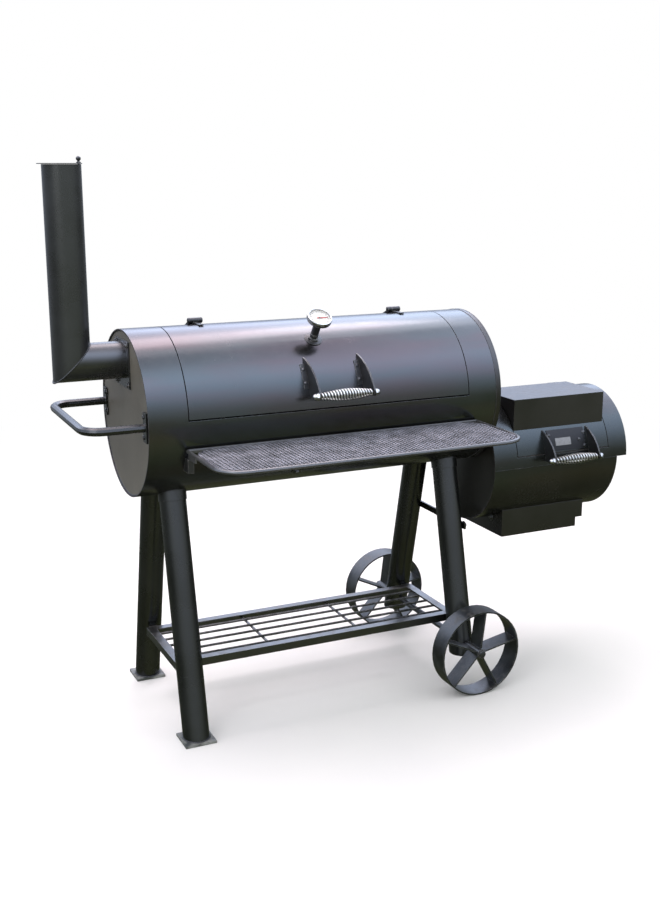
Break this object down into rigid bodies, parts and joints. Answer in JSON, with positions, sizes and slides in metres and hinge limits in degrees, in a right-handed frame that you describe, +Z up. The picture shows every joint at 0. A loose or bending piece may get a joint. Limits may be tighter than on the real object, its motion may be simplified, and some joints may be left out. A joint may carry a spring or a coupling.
{
  "type": "barrel charcoal grill",
  "caption": "Horizontal barrel charcoal grill with a hinged lid, side firebox, mitred chimney, slatted lower shelf, front table and two spoked wheels on splayed pipe legs.",
  "frame": {"origin": "on the ground under the middle of the whole grill's footprint", "axes": "+X along the barrel from the chimney to the firebox, +Y away from the cook, +Z up"},
  "size_m": [1.5547, 0.735, 1.378],
  "materials": {
    "black_paint": "semi-gloss heat resistant black",
    "dark_plate": "satin brown-black",
    "mesh_steel": "painted grey expanded metal",
    "bright_steel": "bright plated steel",
    "cast_iron": "seasoned",
    "glass": "clear",
    "needle_paint": "red"
  },
  "bodies": {
    "root": {"ash_housing": "black_paint", "axle": "bright_steel", "barrel_end_left": "dark_plate", "barrel_end_right": "black_paint", "barrel_shell": "black_paint", "charcoal_grate": "cast_iron", "chimney_elbow": "black_paint", "chimney_stack": "black_paint", "cooking_grate_left": "cast_iron", "cooking_grate_right": "cast_iron", "door_hinge_left_base": "black_paint", "door_hinge_right_base": "black_paint", "end_handle": "black_paint", "firebox_end_left": "dark_plate", "firebox_end_right": "dark_plate", "firebox_lower_shell": "black_paint", "firebox_upper_shell": "black_paint", "foot_plate_front": "dark_plate", "foot_plate_rear": "dark_plate", "front_table_frame": "mesh_steel", "front_table_mesh": "mesh_steel", "grate_rail_front": "black_paint", "grate_rail_rear": "black_paint", "leg_brace": "black_paint", "leg_front_left": "black_paint", "leg_front_right": "black_paint", "leg_rear_left": "black_paint", "leg_rear_right": "black_paint", "lid_hinge_left_base": "black_paint", "lid_hinge_right_base": "black_paint", "lower_shelf_frame": "black_paint", "lower_shelf_grid": "black_paint", "table_hook_left": "black_paint", "table_hook_right": "black_paint", "vent_bolt": "bright_steel"},
    "lid": {"lid": "black_paint", "lid_hinge_left_leaf": "black_paint", "lid_hinge_right_leaf": "black_paint", "lid_bracket_left": "black_paint", "lid_bracket_right": "black_paint", "lid_handle_rod": "bright_steel", "lid_handle_spring": "bright_steel", "thermometer_case": "bright_steel", "thermometer_glass": "glass"},
    "thermometer_needle": {"thermometer_needle": "needle_paint"},
    "firebox_door": {"firebox_door": "black_paint", "firebox_hotplate": "black_paint", "door_hinge_left_leaf": "black_paint", "door_hinge_right_leaf": "black_paint", "door_bracket_left": "black_paint", "door_bracket_right": "black_paint", "door_handle_rod": "bright_steel", "door_handle_spring": "bright_steel", "name_plate": "dark_plate"},
    "chimney_damper": {"chimney_damper": "black_paint", "damper_bolt": "bright_steel"},
    "air_vent": {"air_vent": "black_paint"},
    "ash_drawer": {"ash_drawer": "dark_plate"},
    "wheel_front": {"wheel_front": "black_paint"},
    "wheel_rear": {"wheel_rear": "black_paint"}
  },
  "joints": [
    {"name": "lid_hinge", "type": "hinge", "parent": "root", "child": "lid", "pos_m": [-0.1334, 0.1045, 0.988], "axis": [-1, 0, 0], "range_deg": [0, 115]},
    {"name": "thermometer_needle_turn", "type": "hinge", "parent": "lid", "child": "thermometer_needle", "pos_m": [-0.1554, -0.0399, 0.9457], "axis": [0, 0.5635, -0.8261], "range_deg": [0, 260]},
    {"name": "firebox_door_hinge", "type": "hinge", "parent": "root", "child": "firebox_door", "pos_m": [0.5666, 0.1165, 0.7429], "axis": [-1, 0, 0], "range_deg": [0, 110]},
    {"name": "chimney_damper_swing", "type": "hinge", "parent": "root", "child": "chimney_damper", "pos_m": [-0.6829, 0.0745, 1.36], "axis": [0, 0, 1], "range_deg": [0, 150]},
    {"name": "air_vent_turn", "type": "hinge", "parent": "root", "child": "air_vent", "pos_m": [0.7465, 0.0745, 0.5244], "axis": [1, 0, 0], "range_deg": [0, 60]},
    {"name": "ash_drawer_slide", "type": "slide", "parent": "root", "child": "ash_drawer", "axis": [1, 0, 0], "range_m": [0, 0.21]},
    {"name": "wheel_front_spin", "type": "hinge", "parent": "root", "child": "wheel_front", "pos_m": [0.2456, -0.1855, 0.115], "axis": [0, 1, 0], "continuous": true},
    {"name": "wheel_rear_spin", "type": "hinge", "parent": "root", "child": "wheel_rear", "pos_m": [0.2456, 0.3345, 0.115], "axis": [0, 1, 0], "continuous": true}
  ]
}
